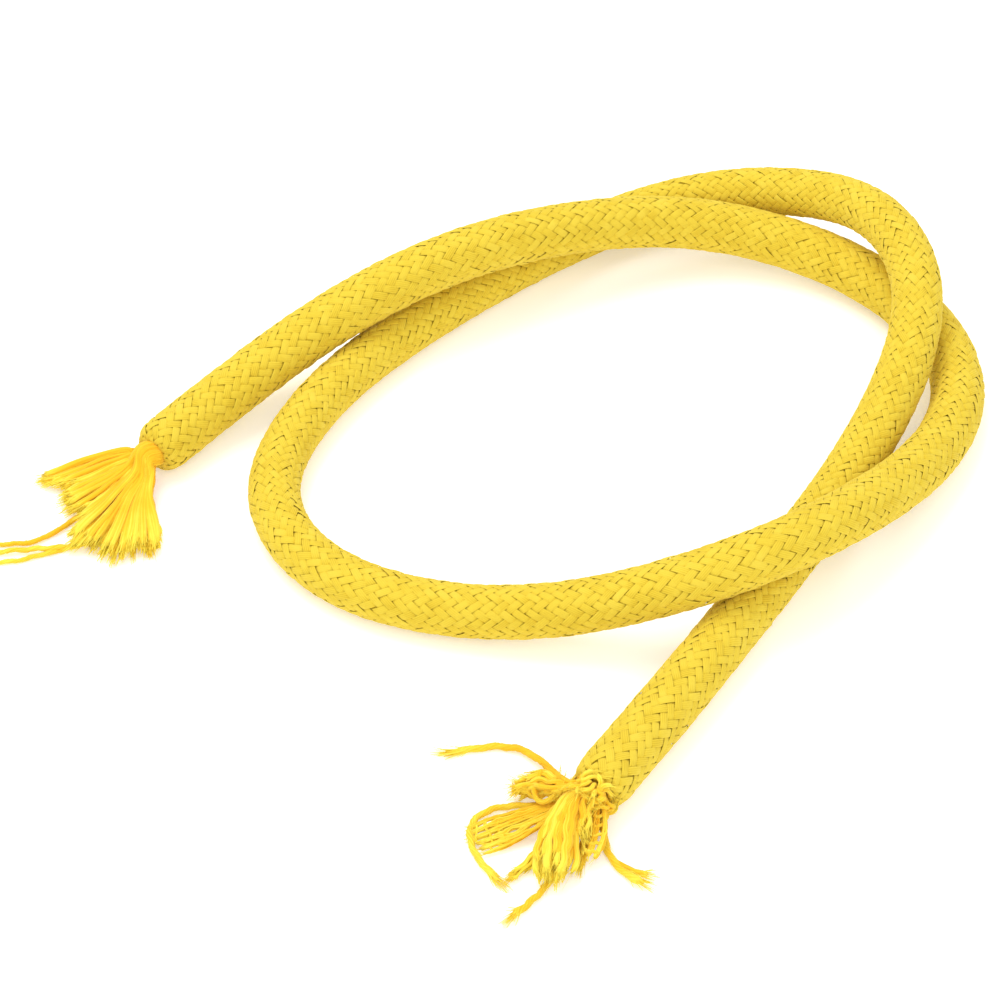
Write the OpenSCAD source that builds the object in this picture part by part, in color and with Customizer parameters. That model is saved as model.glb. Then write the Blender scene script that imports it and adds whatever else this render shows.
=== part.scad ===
// A length of soft braided cotton rope, laid in a loose loop, with both ends tied and frayed.
// Units are millimetres. +X runs to the right, +Y away from the open side of the loop, +Z up.
// The rope lies on the plane z = 0.

/* [Rope] */
// Wall of the braided sheath, outer face to bore
sheath_wall = 2.0; // [1.5:0.1:3]
// Length of rope drawn in from full girth down to each tie
dome_length = 6.5; // [5:0.5:14]
// Straight neck that each tie grips
neck_length = 2.4; // [1.5:0.1:5]

/* [Ties] */
// Radius of the sheath inside the tight tie at the left end
left_neck_r = 2.6; // [2:0.1:4]
// Radius of the sheath inside the looser tie at the right end
right_neck_r = 3.8; // [2.5:0.1:5]
// Thickness of the tying thread
thread_d = 0.9; // [0.5:0.1:1.5]

/* [Core] */
// Gap between neighbouring filler strands
strand_gap = 0.06; // [0.02:0.01:0.3]
// Turns that the outer filler strands make about the middle one, end to end
lay_turns = 3; // [0:1:8]

/* [Hidden] */
// Centre of the rope from the left tie to the right tie. The curve is a cubic B-spline, so the
// points stand a little outside its bends. A stretch on the floor is as high as the rope's radius,
// and where two stretches cross the upper one is a rope's thickness above the lower one.
route = [
    [-82, 18, 6.8], [-70, 34, 7], [-50, 52, 13], [-30, 64, 20], [-8, 78, 22],
    [15, 90, 20], [40, 101, 15], [62, 103, 11], [85, 96, 8], [104, 80, 6.7],
    [115, 58, 6.7], [115, 34, 7], [104, 12, 9], [89, -8, 15], [70, -28, 21],
    [50, -38, 20], [25, -40, 12], [0, -38, 6.8], [-26, -32, 6.3], [-45, -18, 6.3],
    [-54, 4, 6.3], [-49, 26, 6.3], [-38, 47, 6.3], [-22, 66, 6.3], [-4, 84, 6.3],
    [15, 100, 6.3], [36, 114, 7], [60, 119, 11], [84, 109, 18], [99, 94, 23],
    [107, 71, 22], [104, 48, 16], [94, 26, 10], [82, 4, 7], [70, -16, 6.6],
    [56, -39, 6.7], [40, -65, 7], [22, -92, 6.7]
];
route_end = len(route) - 1;
left_span = norm(route[1] - route[0]);
right_span = norm(route[route_end] - route[route_end - 1]);

// Radius of the rope along the route: the braid is fuller near the ties and drawn slim in the loop
girth = [
    [0, 6.8], [3, 6.7], [13, 6.65], [17, 6.3], [27, 6.25], [33, 6.5], [36, 6.7], [37, 6.7]
];

// Rings bunch up in the domes at both ends and then follow every half span
function end_steps(span) = concat(
    [0],
    [for (part = [0, 0.04, 0.15, 0.4, 1]) (neck_length + part * dome_length) / span],
    [0.75]
);
left_steps = end_steps(left_span);
right_steps = end_steps(right_span);
sheath_steps = concat(
    left_steps,
    [for (t = [1 : 0.5 : route_end - 1]) t],
    [for (i = [len(right_steps) - 1 : -1 : 0]) route_end - right_steps[i]]
);
core_inset = neck_length + 0.7 * dome_length;
core_steps = concat(
    [core_inset / left_span, 0.75],
    [for (t = [1.5 : 0.75 : route_end - 1.5]) t],
    [route_end - 0.75, route_end - core_inset / right_span]
);

cotton = [0.96, 0.82, 0.22];
filler = [0.97, 0.86, 0.40];
frayed = [1.0, 0.83, 0.15];
thread = [0.86, 0.66, 0.12];

// ---- curves -------------------------------------------------------------------------------

// Control value i of list p, carried on past both ends so that the curve starts on p[0]
function control(p, i) =
    i < 0 ? 2 * p[0] - p[1] :
    i >= len(p) ? 2 * p[len(p) - 1] - p[len(p) - 2] : p[i];

// Cubic B-spline through list p at parameter t, for points and for plain numbers alike
function along(p, t) =
    let (i = min(floor(t), len(p) - 2), f = t - i)
    ((1 - f) ^ 3 * control(p, i - 1) + (3 * f ^ 3 - 6 * f ^ 2 + 4) * control(p, i)
     + (-3 * f ^ 3 + 3 * f ^ 2 + 3 * f + 1) * control(p, i + 1) + f ^ 3 * control(p, i + 2)) / 6;

function unit(v) = v / norm(v);

function heading(p, t) =
    unit(along(p, min(t + 0.02, len(p) - 1)) - along(p, max(t - 0.02, 0)));

// Ring of points about centre c, across direction d. flat squeezes its height.
function ring(c, d, r, sides, flat = 1) =
    let (side = unit(cross(d, [0, 0, 1])), up = cross(side, d))
    [for (j = [0 : sides - 1])
        let (a = 360 * (j + 0.5) / sides) c + r * (cos(a) * side + flat * sin(a) * up)];

// Faces of the wall between rings, seen from outside, or from inside when inward is true
function wall(rings, sides, first = 0, inward = false) = [
    for (i = [0 : rings - 2], j = [0 : sides - 1])
        let (a = first + i * sides + j, b = first + i * sides + (j + 1) % sides)
        inward ? [a, a + sides, b + sides, b] : [a, b, b + sides, a + sides]
];

// ---- girth of the rope ----------------------------------------------------------------------

// Radius at distance d from the outer end of a tie: neck, then a round shoulder up to full radius
function closing(d, neck_r, full_r) =
    d <= neck_length ? neck_r :
    d >= neck_length + dome_length ? full_r :
    let (u = 1 - (d - neck_length) / dome_length)
    neck_r + (full_r - neck_r) * (1 - u ^ 2.6) ^ (1 / 2.6);

function rope_r(t) =
    t < route_end / 2
    ? closing(t * left_span, left_neck_r, lookup(t, girth))
    : closing((route_end - t) * right_span, right_neck_r, lookup(t, girth));

function bore_r(t) = max(0.7, rope_r(t) - sheath_wall);

// ---- pieces ---------------------------------------------------------------------------------

module braided_sheath() {
    sides = 12;
    n = len(sheath_steps);
    outer = [for (t = sheath_steps) each ring(along(route, t), heading(route, t), rope_r(t), sides)];
    inner = [for (t = sheath_steps) each ring(along(route, t), heading(route, t), bore_r(t), sides)];
    bore = n * sides;
    last = (n - 1) * sides;
    color(cotton) polyhedron(
        concat(outer, inner),
        concat(
            wall(n, sides),
            wall(n, sides, bore, true),
            [for (j = [0 : sides - 1]) let (k = (j + 1) % sides) [j, bore + j, bore + k, k]],
            [for (j = [0 : sides - 1]) let (k = (j + 1) % sides)
                [last + j, last + k, bore + last + k, bore + last + j]]
        )
    );
}

// A solid strand: rings of radius radii along points, round or squeezed flat
module strand(points, radii, flat = 1, sides = 8, step = 0.5, tint = frayed) {
    steps = [for (t = [0 : step : len(points) - 1]) t];
    n = len(steps);
    color(tint) polyhedron(
        [for (t = steps) each ring(along(points, t), heading(points, t), along(radii, t), sides, flat)],
        concat(
            [[for (j = [sides - 1 : -1 : 0]) j]],
            wall(n, sides),
            [[for (j = [0 : sides - 1]) (n - 1) * sides + j]]
        )
    );
}

// Filler strand k: 0 runs down the middle and 1 to 6 lie around it
module core(k) {
    sides = 8;
    function strand_r(t) = bore_r(t) / 3 - strand_gap;
    function centre(t) =
        let (d = heading(route, t), side = unit(cross(d, [0, 0, 1])), up = cross(side, d),
             a = 60 * k + 360 * lay_turns * t / route_end,
             off = k == 0 ? 0 : 2 * strand_r(t) + strand_gap)
        along(route, t) + off * (cos(a) * side + sin(a) * up);
    n = len(core_steps);
    color(filler) polyhedron(
        [for (t = core_steps) each ring(centre(t), heading(route, t), strand_r(t), sides)],
        concat(
            [[for (j = [sides - 1 : -1 : 0]) j]],
            wall(n, sides),
            [[for (j = [0 : sides - 1]) (n - 1) * sides + j]]
        )
    );
}

// Three turns of thread drawn tight about a neck, with a knot on top
module tie(t, neck_r) {
    d = heading(route, t);
    r = thread_d / 2;
    color(thread) translate(along(route, t)) rotate([0, acos(d.z), atan2(d.y, d.x)]) {
        for (turn = [-1 : 1]) translate([0, 0, 0.8 * turn * thread_d])
            rotate_extrude($fn = 48) translate([neck_r + r + 0.02, 0]) circle(r = r, $fn = 24);
        translate([-neck_r - thread_d, 0, 0]) sphere(r = 0.8 * thread_d, $fn = 24);
    }
}

// ---- frayed ends ------------------------------------------------------------------------------
// Each clump or yarn starts in its neck and runs out to its own tip. Points, then radii at them.

module left_tuft_rear() strand(
    [[-82.3, 17.6, 7.9], [-84.5, 17.1, 8.4], [-88, 18.1, 7.3], [-92.5, 18.3, 5.2],
     [-97, 17.3, 3.9], [-101.5, 15.8, 2.8], [-105.5, 15.1, 1.9], [-108.4, 14.6, 1.3]],
    [0.75, 1.1, 1.7, 2.3, 2.7, 2.4, 1.6, 0.8], flat = 0.8);

module left_tuft_side() strand(
    [[-83.5, 18.6, 7.1], [-86.8, 15.6, 5.7], [-90.5, 12.8, 4.3], [-94.5, 10.4, 3.2],
     [-98.5, 8.2, 2.5], [-102.5, 6.2, 1.8]],
    [0.75, 1, 2, 2.9, 3.3, 2.6], flat = 0.6);

module left_tuft_corner() strand(
    [[-82.3, 17.7, 6.2], [-84.4, 14.1, 5.7], [-87.6, 8.4, 4.7], [-91.2, 2.4, 3.8],
     [-95.3, -3.6, 3.4], [-99.2, -9.5, 3]],
    [0.75, 1, 2, 3, 3.7, 3.4], flat = 0.45);

module left_tuft_front() strand(
    [[-81.3, 17, 5.4], [-83, 13, 4.3], [-84.5, 8.5, 3.6], [-86, 3, 3.2], [-87.3, -4.5, 2.4],
     [-88.7, -13.3, 1.9]],
    [0.75, 1, 1.5, 2, 3.3, 3.6], flat = 0.5);

module left_tuft_right() strand(
    [[-81, 16.8, 7], [-81.3, 12.5, 6], [-82, 8, 4.6], [-82.3, 3, 3.2], [-80.6, -3.5, 2.4],
     [-79.8, -11, 1.9]],
    [0.75, 1, 1.1, 1.3, 2.5, 3.2], flat = 0.5);

module left_long_yarn() strand(
    [[-83.4, 18.5, 5.4], [-86.5, 15.2, 3.2], [-90.5, 11, 1], [-95, 6, 0.7], [-100, 0.5, 0.7],
     [-105, -5, 0.7], [-110, -7.5, 0.7], [-116, -7, 0.7], [-121, -7.5, 0.7]],
    [0.6, 0.6, 0.65, 0.7, 0.7, 0.7, 0.65, 0.6, 0.5]);

module left_low_yarn() strand(
    [[-82.3, 17.7, 4.6], [-84.6, 13.2, 2], [-87.6, 7.5, 0.7], [-90.5, 1.5, 0.7], [-93.5, -4.5, 0.7],
     [-98.5, -8, 0.7], [-104.5, -10, 0.7], [-110, -12.5, 0.7], [-115, -13.5, 0.7], [-119, -13, 0.7]],
    [0.6, 0.6, 0.65, 0.65, 0.65, 0.65, 0.65, 0.6, 0.6, 0.5]);

// Cut yarns folded back round the right neck, just past its tie
module right_ruff() {
    t = route_end;
    d = heading(route, t);
    color(frayed) translate(along(route, t) + 1.3 * d) rotate([0, acos(d.z), atan2(d.y, d.x)])
        rotate_extrude($fn = 48) translate([right_neck_r + 1.7, 0]) circle(r = 0.9, $fn = 24);
}

module right_long_yarn() strand(
    [[19.6, -90.7, 6.2], [17.5, -89.6, 5.6], [15, -85.5, 3.4], [11.5, -79, 2],
     [7.5, -74.5, 1.3], [3, -72.6, 1], [-3, -73.2, 0.9], [-10, -74.8, 0.9]],
    [0.75, 0.9, 0.9, 0.9, 0.85, 0.85, 0.85, 0.9]);

module right_tuft_upper() strand(
    [[20.2, -91.2, 8.2], [17.5, -92.1, 8], [14, -90.6, 6.6], [10.5, -88.6, 5], [8, -87.6, 3.9],
     [5.5, -87.2, 3]],
    [0.75, 1.5, 2.5, 2.8, 2.7, 2], flat = 0.8);

module right_curled_yarn() strand(
    [[20.2, -91.2, 4.2], [15.5, -91.4, 2.6], [10, -90.9, 1.2], [5, -90.5, 0.8], [-0.5, -91.6, 0.8],
     [-4.5, -95, 0.8], [-4.8, -101, 0.8], [-2.6, -107, 0.9], [2, -112.2, 0.9]],
    [0.7, 0.7, 0.75, 0.8, 0.8, 0.8, 0.8, 0.8, 0.9]);

module right_net() strand(
    [[20.9, -91.8, 6.2], [15.8, -93.9, 4.7], [10.7, -95.4, 3], [6, -97, 1.7],
     [1.8, -98.6, 1.1], [-1.4, -100.2, 1]],
    [0.75, 1.3, 2.8, 3.9, 4.6, 4.1], flat = 0.22);

module right_tuft_centre() strand(
    [[21.7, -92.5, 8.9], [18, -95, 9.6], [15.6, -99, 8], [14.2, -104, 6], [13.1, -109, 4.8],
     [12.4, -114.2, 3.6]],
    [0.75, 1.9, 3, 4, 4.9, 3.5], flat = 0.6);

module right_tuft_mid() strand(
    [[22.5, -93, 6.2], [17.6, -97.6, 4.4], [13.4, -101.6, 2.7], [10, -105.2, 1.7],
     [7, -108.8, 1.2], [4, -111.6, 0.9]],
    [0.75, 1, 1.3, 1.4, 1.4, 0.9], flat = 0.7);

module right_tuft_low() strand(
    [[23.2, -93.5, 4.3], [21.3, -98, 2.4], [19.9, -102, 1.4], [19.1, -105.5, 1.2],
     [18.5, -109, 1.1]],
    [0.75, 1, 1.4, 1.5, 1.2], flat = 0.7);

module right_low_yarn() strand(
    [[21.6, -92.6, 3.6], [18.8, -98.2, 1.6], [16, -104, 0.8], [13.4, -110.5, 0.8], [10.4, -116, 0.8],
     [7.2, -119.5, 0.9], [4.2, -122.5, 1]],
    [0.7, 0.75, 0.75, 0.75, 0.75, 0.8, 1.0], flat = 0.9);

module right_braid_flap() strand(
    [[23.1, -93.7, 8.1], [22.5, -97, 6.6], [22.3, -100.5, 4.8], [21.8, -104, 3.6], [20.6, -107.5, 3]],
    [0.75, 1.8, 2.6, 2.4, 1.5], flat = 0.5);

module right_side_yarn() strand(
    [[24, -94, 6.2], [24, -97.8, 3.2], [24.2, -102.3, 1.4], [25.8, -107, 0.8],
     [28.5, -110.6, 0.9], [32, -113.6, 1.2]],
    [0.7, 0.75, 0.8, 0.8, 0.9, 1.1]);

braided_sheath();
core(0);  // core_centre
core(1);  // core_strand_1
core(2);  // core_strand_2
core(3);  // core_strand_3
core(4);  // core_strand_4
core(5);  // core_strand_5
core(6);  // core_strand_6
tie(0.5 * neck_length / left_span, left_neck_r);  // left_tie
tie(route_end - 0.5 * neck_length / right_span, right_neck_r);  // right_tie
left_tuft_rear();
left_tuft_side();
left_tuft_corner();
left_tuft_front();
left_tuft_right();
left_long_yarn();
left_low_yarn();
right_long_yarn();
right_curled_yarn();
right_side_yarn();
right_low_yarn();
right_tuft_low();
right_ruff();
right_tuft_upper();
right_tuft_centre();
right_tuft_mid();
right_net();
right_braid_flap();
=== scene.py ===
"""Looks for a soft braided rope that lies in a loose loop, with both ends tied and frayed."""

import math

import bpy
import numpy as np
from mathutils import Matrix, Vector


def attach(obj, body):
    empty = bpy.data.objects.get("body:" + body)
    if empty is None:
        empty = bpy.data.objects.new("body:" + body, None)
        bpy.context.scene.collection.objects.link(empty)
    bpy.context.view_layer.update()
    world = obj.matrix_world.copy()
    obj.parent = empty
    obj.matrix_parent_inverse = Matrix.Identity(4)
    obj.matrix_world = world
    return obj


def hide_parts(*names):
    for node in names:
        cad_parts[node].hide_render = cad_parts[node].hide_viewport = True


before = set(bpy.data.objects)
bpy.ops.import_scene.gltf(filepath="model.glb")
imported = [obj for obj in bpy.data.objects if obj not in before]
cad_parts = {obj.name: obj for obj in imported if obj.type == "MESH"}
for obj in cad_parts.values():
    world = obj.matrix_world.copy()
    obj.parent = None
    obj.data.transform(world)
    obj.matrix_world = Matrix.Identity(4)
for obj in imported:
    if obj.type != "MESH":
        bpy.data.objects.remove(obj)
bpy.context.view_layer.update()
rng = np.random.default_rng(11)

# ---- sizes, in millimetres, in the frame of the CAD ---------------------------------------------

MM = 0.001
CAMERA_PLACE = (2, -561.4, 513.6)
CAMERA_DOWN = 42       # degrees below the horizon
LENS = 115.1           # focal length, for a film 36 mm wide

# Centre of the rope from the left tie to the right tie: the same points as in part.scad
ROUTE = [
    [-82, 18, 6.8], [-70, 34, 7], [-50, 52, 13], [-30, 64, 20], [-8, 78, 22],
    [15, 90, 20], [40, 101, 15], [62, 103, 11], [85, 96, 8], [104, 80, 6.7],
    [115, 58, 6.7], [115, 34, 7], [104, 12, 9], [89, -8, 15], [70, -28, 21],
    [50, -38, 20], [25, -40, 12], [0, -38, 6.8], [-26, -32, 6.3], [-45, -18, 6.3],
    [-54, 4, 6.3], [-49, 26, 6.3], [-38, 47, 6.3], [-22, 66, 6.3], [-4, 84, 6.3],
    [15, 100, 6.3], [36, 114, 7], [60, 119, 11], [84, 109, 18], [99, 94, 23],
    [107, 71, 22], [104, 48, 16], [94, 26, 10], [82, 4, 7], [70, -16, 6.6],
    [56, -39, 6.7], [40, -65, 7], [22, -92, 6.7],
]
# Radius of the rope at route points: fuller near the ties, drawn slim in the loop
GIRTH = [(0, 6.8), (3, 6.7), (13, 6.65), (17, 6.3), (27, 6.25), (33, 6.5), (36, 6.7), (37, 6.7)]
ROUTE_STEPS = 40001    # points worked out along the route
NECK_LENGTH = 2.4
NECK_SHOWN = 0.5       # the braid bulges over the tie, so only this much of the neck is left
DOME_LENGTH = 6.5
DOME_POWER = 2.6       # 2 would be a quarter ellipse; more is a blunter shoulder
LEFT_NECK_R, RIGHT_NECK_R = 2.6, 3.8

PLAITS = 18            # plaits that run each way round
SLANT = 36             # slant of the plaits to the rope's axis, in degrees
PLAIT_RISE = 0.24      # how far a plait stands above and below the middle of the braid
PLAIT_CROWN = 0.1      # how far a plait curves down from its middle to its edges
PLAIT_EDGE = 0.13      # how far its very edges turn down beyond that
YARN_GROOVE = 0.07     # depth of the groove between two yarns of a plait


def camera():
    """Where the photograph was taken from: high up, far off, through a long lens."""
    data = bpy.data.cameras.new("camera")
    data.sensor_width = 36
    data.lens = LENS
    cam = bpy.data.objects.new("camera", data)
    bpy.context.scene.collection.objects.link(cam)
    cam.location = np.array(CAMERA_PLACE) * MM
    cam.rotation_euler = (math.radians(90 - CAMERA_DOWN), 0, 0)
    bpy.context.scene.camera = cam


# ---- mesh helpers -------------------------------------------------------------------------------

def spline(points, t):
    """Points at the parameters t on a cubic B-spline that starts and ends on the list's own ends."""
    p = np.array(points, float)
    p = np.concatenate([[2 * p[0] - p[1]], p, [2 * p[-1] - p[-2]]])
    i = np.minimum(t.astype(int), len(p) - 4)
    f = (t - i)[:, None]
    return ((1 - f) ** 3 * p[i] + (3 * f**3 - 6 * f**2 + 4) * p[i + 1]
            + (-3 * f**3 + 3 * f**2 + 3 * f + 1) * p[i + 2] + f**3 * p[i + 3]) / 6


def unit(v):
    return v / np.linalg.norm(v, axis=-1, keepdims=True)


UPRIGHT = (0, 0.001, 1)    # up, leant over by a hair, so that no line here runs exactly along it


def axes_along(line):
    """Heading, side and up vectors at each point of a line or a stack of lines."""
    heading = unit(np.gradient(line, axis=-2))
    side = unit(np.cross(heading, UPRIGHT))
    return heading, side, np.cross(side, heading)


def sheet_quads(rows, cols, closed):
    """Faces of a sheet of rows x cols vertices. closed joins the last column to the first."""
    i, j = np.meshgrid(np.arange(rows - 1), np.arange(cols if closed else cols - 1), indexing="ij")
    k = (j + 1) % cols
    quads = np.stack([i * cols + j, (i + 1) * cols + j, (i + 1) * cols + k, i * cols + k], -1)
    return quads.reshape(-1, 4)


def sheets_object(name, sheets, material, closed=False, **values):
    """One object from sheets, an array of shape (count, rows, cols, 3) in millimetres.
    values are numbers for each vertex that the material reads by name."""
    count, rows, cols, _ = sheets.shape
    quads = sheet_quads(rows, cols, closed)
    quads = (quads[None] + (np.arange(count) * rows * cols)[:, None, None]).reshape(-1, 4)
    mesh = bpy.data.meshes.new(name)
    mesh.vertices.add(count * rows * cols)
    mesh.vertices.foreach_set("co", (sheets * MM).astype(np.float32).ravel())
    mesh.loops.add(quads.size)
    mesh.loops.foreach_set("vertex_index", quads.astype(np.int32).ravel())
    mesh.polygons.add(len(quads))
    mesh.polygons.foreach_set("loop_start", np.arange(0, quads.size, 4, dtype=np.int32))
    mesh.update(calc_edges=True)
    mesh.shade_smooth()
    for key, value in values.items():
        value = np.broadcast_to(value, sheets.shape[:3]).astype(np.float32)
        mesh.attributes.new(key, "FLOAT", "POINT").data.foreach_set("value", value.ravel())
    mesh.materials.append(material)
    obj = bpy.data.objects.new(name, mesh)
    bpy.context.scene.collection.objects.link(obj)
    return obj


def tubes(lines, radii, sides):
    """Rings about each line: (count, points, 3) and (count, points) to (count, points, sides, 3)."""
    _, side, up = axes_along(lines)
    a = np.arange(sides) * 2 * np.pi / sides
    spokes = np.cos(a)[:, None] * side[..., None, :] + np.sin(a)[:, None] * up[..., None, :]
    return lines[..., None, :] + radii[..., None, None] * spokes


# ---- the rope's own coordinates -----------------------------------------------------------------

class Rope:
    """Turns a place on the rope's skin into a point in space."""

    def __init__(self):
        t = np.linspace(0, len(ROUTE) - 1, ROUTE_STEPS)
        self.centre = spline(ROUTE, t)
        steps = np.linalg.norm(np.diff(self.centre, axis=0), axis=1)
        self.s = np.concatenate([[0], np.cumsum(steps)])
        self.length = self.s[-1]
        self.heading, self.side, self.up = axes_along(self.centre)
        full = np.interp(t, *zip(*GIRTH))
        from_tie = np.minimum(self.s, self.length - self.s)
        neck = np.where(self.s < self.length / 2, LEFT_NECK_R, RIGHT_NECK_R)
        u = np.clip((NECK_SHOWN + DOME_LENGTH - from_tie) / DOME_LENGTH, 0, 1)
        self.radius = neck + (full - neck) * (1 - u**DOME_POWER) ** (1 / DOME_POWER)
        # skin is the distance along the skin, which runs up the domes as well as along the rope
        self.lean = np.arctan(np.gradient(self.radius, self.s))
        self.skin = np.concatenate([[0], np.cumsum(np.hypot(steps, np.diff(self.radius)))])
        self.turn = math.tan(math.radians(SLANT)) / full
        mean_turn = (self.turn[1:] + self.turn[:-1]) / 2
        self.turned = np.concatenate([[0], np.cumsum(mean_turn * np.diff(self.skin))])

    def look(self, table, skin):
        if table.ndim == 1:
            return np.interp(skin, self.skin, table)
        return np.stack([np.interp(skin, self.skin, table[:, k]) for k in range(3)], -1)

    def point(self, skin, angle, lift):
        """Point lift above the skin, at a distance along it and an angle round it."""
        skin = np.clip(skin, 0, self.skin[-1])
        side, up, heading = (self.look(v, skin) for v in (self.side, self.up, self.heading))
        outward = np.cos(angle)[..., None] * side + np.sin(angle)[..., None] * up
        lean = self.look(self.lean, skin)[..., None]
        normal = np.cos(lean) * outward - np.sin(lean) * heading
        return (self.look(self.centre, skin) + self.look(self.radius, skin)[..., None] * outward
                + lift[..., None] * normal)


rope = Rope()


# ---- materials ----------------------------------------------------------------------------------

def node(tree, kind, **inputs):
    """Adds a node. An input is a value, or a socket to join it to."""
    n = tree.nodes.new(kind)
    for name, value in inputs.items():
        socket = n.inputs[int(name[1:])] if name[0] == "_" else n.inputs[name.replace("_", " ")]
        if isinstance(value, bpy.types.NodeSocket):
            tree.links.new(value, socket)
        else:
            socket.default_value = value
    return n


PATCH_SCALE = 170      # uneven dye
GRAIN_SCALE = 2600     # fibres on the face of a yarn
LIGHT_AT, PALE_AT = 0.3, 0.12      # where the colours of cotton() come as its painted shade deepens


def cotton(name, pale, light, deep, sheen, tip=None, varied=0.1, bump=True):
    """Matte cotton with painted light and shade in its colour: a painted highlight, pale, on the crowns,
    light on the flanks, painted shade, deep, in the hollows, and at the cut ends of its fibres painted
    light in the colour tip, if it has one.

    The mesh gives each vertex a number for its painted shade, from 0 on lit crowns to 1 in shaded
    hollows, and a number strand, from -1 to 1, that sets one strand's own tone against the next."""
    material = bpy.data.materials.new(name)
    material.use_nodes = True
    tree = material.node_tree
    shader = tree.nodes["Principled BSDF"]
    place = node(tree, "ShaderNodeTexCoord").outputs["Object"]
    hollow = tree.nodes.new("ShaderNodeAttribute")
    hollow.attribute_name = "hollow"
    strand = tree.nodes.new("ShaderNodeAttribute")
    strand.attribute_name = "strand"
    patches = node(tree, "ShaderNodeTexNoise", Vector=place, Scale=PATCH_SCALE, Detail=3)
    # painted shade in the hollows first, then uneven dye, then each strand's own tone
    uneven = node(tree, "ShaderNodeMath", _0=patches.outputs["Fac"], _1=0.5)
    uneven.operation = "SUBTRACT"
    shade = node(tree, "ShaderNodeMath", _0=uneven.outputs[0], _1=0.5, _2=hollow.outputs["Fac"])
    shade.operation = "MULTIPLY_ADD"
    shade = node(tree, "ShaderNodeMath", _0=strand.outputs["Fac"], _1=varied, _2=shade.outputs[0])
    shade.operation = "MULTIPLY_ADD"
    shade.use_clamp = True
    # the ramp holds lit and shaded copies of the cotton: painted light at the tips, a painted highlight
    # on the crowns, painted shade in the hollows
    colour = tree.nodes.new("ShaderNodeValToRGB")
    ramp = colour.color_ramp.elements
    ramp[0].color = (*pale, 1)
    ramp[1].color = (*deep, 1)
    ramp.new(LIGHT_AT).color = (*light, 1)
    if tip:
        ramp[0].color = (*tip, 1)
        ramp.new(PALE_AT).color = (*pale, 1)
    tree.links.new(shade.outputs[0], colour.inputs["Fac"])
    tree.links.new(colour.outputs["Color"], shader.inputs["Base Color"])
    if bump:
        fibres = node(tree, "ShaderNodeTexNoise", Vector=place, Scale=GRAIN_SCALE, Detail=4)
        relief = node(tree, "ShaderNodeBump", Height=fibres.outputs["Fac"], Strength=0.3,
                      Distance=0.0002)
        tree.links.new(relief.outputs["Normal"], shader.inputs["Normal"])
    shader.inputs["Roughness"].default_value = 0.92
    shader.inputs["Specular IOR Level"].default_value = 0.2
    shader.inputs["Sheen Weight"].default_value = sheen
    shader.inputs["Sheen Roughness"].default_value = 0.5
    shader.inputs["Sheen Tint"].default_value = (1, 0.9, 0.5, 1)
    return material


# The colours are, in turn, for crowns, flanks and hollows: a painted highlight, the flank, and painted
# shade; a tip colour is painted light at the fibre ends. Fluff is too fine to need a bump.
braid_cotton = cotton("braid_cotton", (0.765, 0.580, 0.056), (0.725, 0.530, 0.039),
                      (0.52, 0.32, 0.008), sheen=0.12)
# painted shade: the lining's colours are darker copies of the braid's, for the shade inside the braid
lining_shade_cotton = cotton("lining_shade_cotton", (0.56, 0.34, 0.014), (0.48, 0.28, 0.009),
                       (0.36, 0.19, 0.004), sheen=0)
frayed_cotton = cotton("frayed_cotton", (0.90, 0.68, 0.055), (0.87, 0.55, 0.022),
                       (0.80, 0.33, 0.002), sheen=0.2, tip=(0.93, 0.75, 0.07), varied=0.2)
fluff_cotton = cotton("fluff_cotton", (0.95, 0.74, 0.07), (0.94, 0.62, 0.03),
                      (0.85, 0.38, 0.003), sheen=0, tip=(0.95, 0.79, 0.09), bump=False)
thread_cotton = cotton("thread_cotton", (0.86, 0.60, 0.04), (0.82, 0.52, 0.02),
                       (0.62, 0.32, 0.005), sheen=0.12)
filler_cotton = cotton("filler_cotton", (0.88, 0.70, 0.20), (0.84, 0.64, 0.14),
                       (0.70, 0.48, 0.07), sheen=0.15)



# ---- braid --------------------------------------------------------------------------------------

# Across a plait: nine points, from edge to edge, over four yarns with three grooves between them
ACROSS = np.linspace(-1, 1, 9)
GROOVES = np.array([0.0, 0, 1, 0, 1, 0, 1, 0, 0])
# where the painted shade at a plait's edges falls
EDGES = np.array([1.0, 0.1, 0, 0, 0, 0, 0, 0.1, 1])
# Along a plait, in crossings from the middle of a float: closer together where it dives
BEATS = np.array([-2, -1.3, -1.12, -0.97, -0.82, -0.5, 0, 0.5, 0.82, 0.97, 1.12, 1.3])
CROSSINGS = 4          # over two and under two, then again
DIVE, FLATNESS = 3.5, 0.75     # how sharply a plait dives, and how flat it lies in between
# How far plaits stray from their places, in millimetres, but width as a part of the whole
STRAY = {"lift": 0.05, "slide": 0.08, "tilt": 0.05, "width": 0.03}
# Painted shade on each part of a plait: its lit crown, where it dives under the others, the grooves
# between its yarns, and its edges
CROWN_HOLLOW, SUNK_HOLLOW, GROOVE_HOLLOW, EDGE_HOLLOW = 0.1, 0.52, 0.55, 0.22

LINING_SUNK = 0.75     # how far the lining lies below the skin
LINING_SIDES = 48
DOME_SKIN = 14         # distance along the skin that takes in a dome


def wander(count, steps, size):
    """A slowly wandering line of numbers for each of count strands."""
    raw = rng.normal(0, size, (count, steps + 4))
    return (raw[:, :-4] + 2 * raw[:, 1:-3] + 3 * raw[:, 2:-2] + 2 * raw[:, 3:-1] + raw[:, 4:]) / 4.4


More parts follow.
